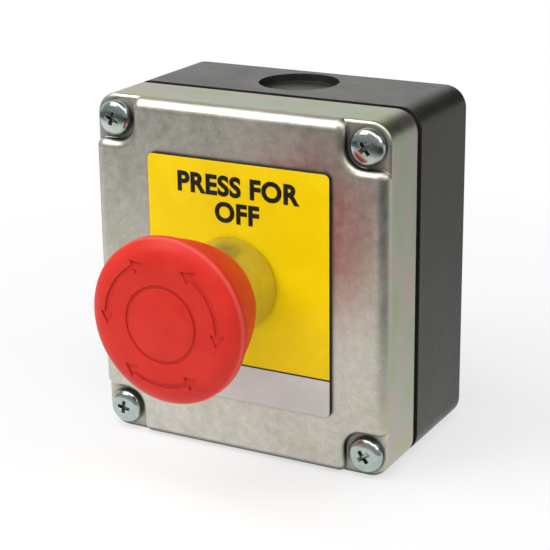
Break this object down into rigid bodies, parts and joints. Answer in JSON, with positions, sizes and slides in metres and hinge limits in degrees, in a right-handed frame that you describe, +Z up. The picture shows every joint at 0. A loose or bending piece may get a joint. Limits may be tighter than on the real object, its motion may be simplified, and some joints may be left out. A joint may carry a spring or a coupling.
{
  "type": "emergency stop pushbutton station",
  "caption": "Wall-mounted stop station: die-cast cover on a black box with a red twist-release mushroom pushbutton, legend plate and contact blocks inside.",
  "frame": {"origin": "middle of the flat back face that lies on the wall", "axes": "+Z up, +X to the right of the user, +Y into the wall; the button faces the user on the -Y side"},
  "size_m": [0.08, 0.0817, 0.0882],
  "materials": {
    "base_plastic": "satin moulded black",
    "cast_cover": "bare tumbled die casting",
    "seal_rubber": "matt black",
    "zinc_screw": "zinc plated",
    "legend": "printed plate, yellow over a pale strip",
    "plated_collar": "satin chrome plated",
    "red_head": "moulded red",
    "steel": "turned steel",
    "spring_steel": "drawn wire",
    "pusher_plastic": "natural moulded",
    "carrier_plastic": "moulded black",
    "block_plastic": "moulded grey",
    "nc_plastic": "moulded red",
    "no_plastic": "moulded green",
    "contact_brass": "bright"
  },
  "bodies": {
    "station": {"base_box": "base_plastic", "cover": "cast_cover", "cover_gasket": "seal_rubber", "cover_screws": "zinc_screw", "legend_plate": "legend", "bezel_gasket": "seal_rubber", "operator_body": "plated_collar", "mounting_nut": "steel", "pusher_seal": "seal_rubber", "return_spring": "spring_steel", "contact_carrier": "carrier_plastic", "carrier_screw": "zinc_screw", "nc_housing": "block_plastic", "nc_terminals": "contact_brass", "nc_terminal_screws": "zinc_screw", "nc_spring": "spring_steel", "no_housing": "block_plastic", "no_terminals": "contact_brass", "no_terminal_screws": "zinc_screw", "no_spring": "spring_steel"},
    "pusher": {"pusher": "pusher_plastic", "push_plate": "pusher_plastic", "latch_pins": "steel", "twist_spring": "spring_steel"},
    "head": {"head_cap": "red_head", "head_shaft": "steel", "shaft_clip": "spring_steel"},
    "nc_contact": {"nc_plunger": "nc_plastic", "nc_bridge": "contact_brass"},
    "no_contact": {"no_plunger": "no_plastic", "no_bridge": "contact_brass"}
  },
  "joints": [
    {"name": "press", "type": "slide", "parent": "station", "child": "pusher", "axis": [0, 1, 0], "range_m": [0, 0.005], "stiffness_N_per_m": 2500, "springref_m": -0.006, "deforming": ["return_spring"]},
    {"name": "twist", "type": "hinge", "parent": "pusher", "child": "head", "pos_m": [0, -0.0609, 0.0012], "axis": [0, 1, 0], "range_deg": [0, 45], "stiffness_Nm_per_rad": 0.1, "springref_deg": -17.19, "deforming": ["twist_spring"]},
    {"name": "nc_press", "type": "slide", "parent": "station", "child": "nc_contact", "axis": [0, 1, 0], "range_m": [0, 0.005], "deforming": ["nc_spring"]},
    {"name": "no_press", "type": "slide", "parent": "station", "child": "no_contact", "axis": [0, 1, 0], "range_m": [0, 0.005], "deforming": ["no_spring"]}
  ],
  "couplings": [
    {"joint": "nc_press", "follows": "press", "ratio": 1},
    {"joint": "no_press", "follows": "press", "ratio": 1}
  ]
}
